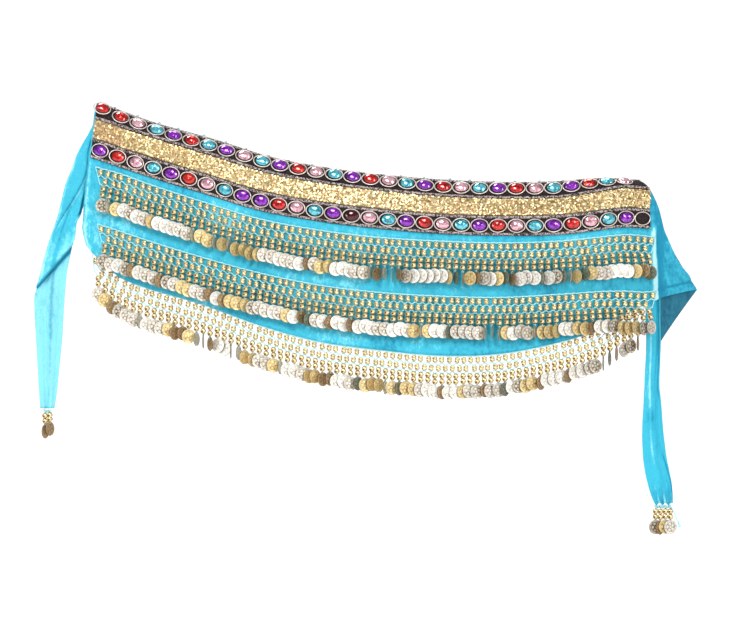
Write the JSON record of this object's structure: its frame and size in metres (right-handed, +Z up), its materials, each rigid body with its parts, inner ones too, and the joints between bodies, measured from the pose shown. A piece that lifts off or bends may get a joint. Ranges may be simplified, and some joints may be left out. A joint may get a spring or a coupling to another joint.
{
  "type": "belly dance hip scarf",
  "caption": "Velvet belly dance hip scarf with two ribbons of oval stones, a sequin band, three nets of bead and coin fringe, and a tie at each end",
  "frame": {"origin": "the inner face of the top band at the middle of the front, where the wearer's hips carry the scarf", "axes": "X is along the scarf to the right as the front is seen, Y is away from the front, Z is up"},
  "size_m": [0.7315, 0.1275, 0.4752],
  "materials": {
    "velvet": "turquoise velvet with a soft directional nap",
    "gem_ribbon": "black ribbon with braided silver-grey edges and oval glossy stones",
    "sequins": "dense gold holographic sequins",
    "gold_beads": "shiny gold beads and coins"
  },
  "bodies": {
    "root": {"hip_panel": "velvet", "right_back_flap": "velvet", "left_tie": "velvet", "right_tie": "velvet", "upper_gem_trim": "gem_ribbon", "sequin_band": "sequins", "lower_gem_trim": "gem_ribbon", "fringe_row_1": "gold_beads", "fringe_row_2": "gold_beads", "fringe_row_3": "gold_beads", "left_tassel": "gold_beads", "right_tassel": "gold_beads"}
  },
  "joints": []
}
